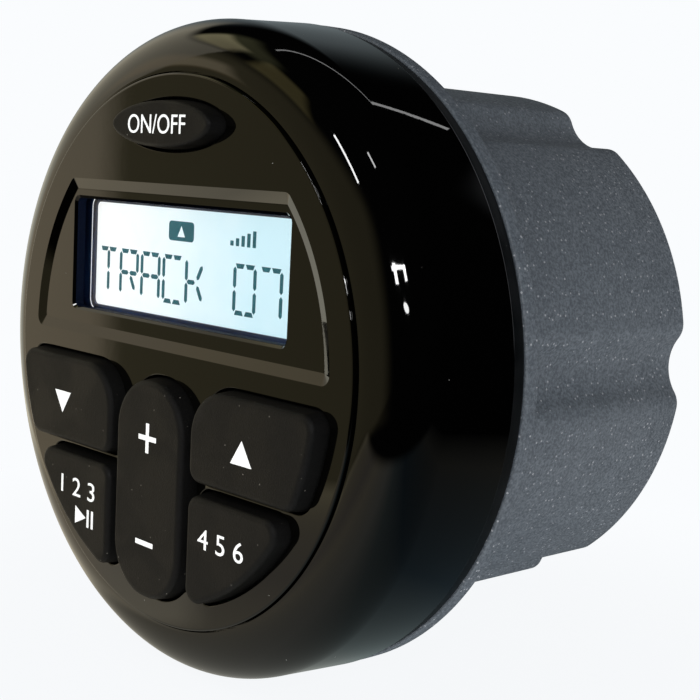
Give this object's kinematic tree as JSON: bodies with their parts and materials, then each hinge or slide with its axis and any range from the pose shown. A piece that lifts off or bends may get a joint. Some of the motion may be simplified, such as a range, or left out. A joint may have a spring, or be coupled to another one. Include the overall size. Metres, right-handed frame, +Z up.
{
  "type": "marine stereo",
  "caption": "Round dash-mounted boat stereo with a gloss bezel, lit display window, pressing rubber keys, a tilting volume rocker and a fluted flanged rear housing.",
  "frame": {"origin": "centre of the flange's rear face, on the housing's axis, where the dash panel's front lies", "axes": "-Y towards the user, +Y into the dash, +X right seen from the front, +Z up"},
  "size_m": [0.0988, 0.0803, 0.0988],
  "materials": {
    "bezel_gloss": "high-gloss black moulding",
    "panel_gloss": "high-gloss black moulding",
    "lens_clear": "clear polished window",
    "seal_rubber": "satin dark rubber",
    "housing_grain": "grained grey moulding",
    "screw_steel": "stainless screws",
    "key_rubber": "matte charcoal rubber with white printing",
    "contact_carbon": "carbon-filled rubber",
    "web_silicone": "matte silicone sheet",
    "pad_gold": "gold-plated contact pads",
    "frame_dark": "dark blue-black moulding",
    "display_lit": "lit white display with dark segments",
    "light_guide": "white light guide",
    "board_green": "green circuit board",
    "chip_black": "black chip moulding",
    "sink_aluminium": "extruded aluminium",
    "tuner_can": "tinned steel can",
    "capacitor_sleeve": "shrink sleeve",
    "choke_core": "enamelled winding on a ring core",
    "connector_ivory": "ivory moulding",
    "ribbon_grey": "flat cable",
    "gland_rubber": "matte black rubber",
    "socket_nickel": "nickel-plated socket",
    "insert_brass": "turned brass"
  },
  "bodies": {
    "chassis": {"front_bezel": "bezel_gloss", "face_panel": "panel_gloss", "display_lens": "lens_clear", "housing_seal": "seal_rubber", "rear_housing": "housing_grain", "housing_screws": "screw_steel", "keypad_web": "web_silicone", "power_key_web": "web_silicone", "contact_pads": "pad_gold", "lcd_frame": "frame_dark", "lcd_glass": "display_lit", "lcd_backlight": "light_guide", "display_board": "board_green", "display_board_screws": "screw_steel", "display_chip": "chip_black", "main_board": "board_green", "main_board_screws": "screw_steel", "control_chip": "chip_black", "amplifier_chip": "chip_black", "heat_sink": "sink_aluminium", "tuner_module": "tuner_can", "filter_capacitors": "capacitor_sleeve", "input_choke": "choke_core", "ribbon_connectors": "connector_ivory", "ribbon_cable": "ribbon_grey", "harness_header": "connector_ivory", "harness_grommet": "gland_rubber", "lead_grommet": "gland_rubber", "antenna_socket": "socket_nickel", "antenna_insulator": "connector_ivory", "antenna_nut": "socket_nickel", "bracket_inserts": "insert_brass"},
    "power_button": {"power_key": "key_rubber", "power_key_pill": "contact_carbon"},
    "down_button": {"down_key": "key_rubber", "down_key_pill": "contact_carbon"},
    "up_button": {"up_key": "key_rubber", "up_key_pill": "contact_carbon"},
    "volume_button": {"volume_rocker": "key_rubber", "volume_rocker_pills": "contact_carbon"},
    "band_button": {"band_key": "key_rubber", "band_key_pill": "contact_carbon"},
    "mode_button": {"mode_key": "key_rubber", "mode_key_pill": "contact_carbon"}
  },
  "joints": [
    {"name": "power_press", "type": "slide", "parent": "chassis", "child": "power_button", "axis": [0, 1, 0], "range_m": [0, 0.0008], "stiffness_N_per_m": 900},
    {"name": "down_press", "type": "slide", "parent": "chassis", "child": "down_button", "axis": [0, 1, 0], "range_m": [0, 0.0008], "stiffness_N_per_m": 900},
    {"name": "up_press", "type": "slide", "parent": "chassis", "child": "up_button", "axis": [0, 1, 0], "range_m": [0, 0.0008], "stiffness_N_per_m": 900},
    {"name": "volume_tilt", "type": "hinge", "parent": "chassis", "child": "volume_button", "pos_m": [0, -0.0216, -0.02005], "axis": [1, 0, 0], "range_deg": [-3, 3], "stiffness_Nm_per_rad": 0.25},
    {"name": "band_press", "type": "slide", "parent": "chassis", "child": "band_button", "axis": [0, 1, 0], "range_m": [0, 0.0008], "stiffness_N_per_m": 900},
    {"name": "mode_press", "type": "slide", "parent": "chassis", "child": "mode_button", "axis": [0, 1, 0], "range_m": [0, 0.0008], "stiffness_N_per_m": 900}
  ]
}
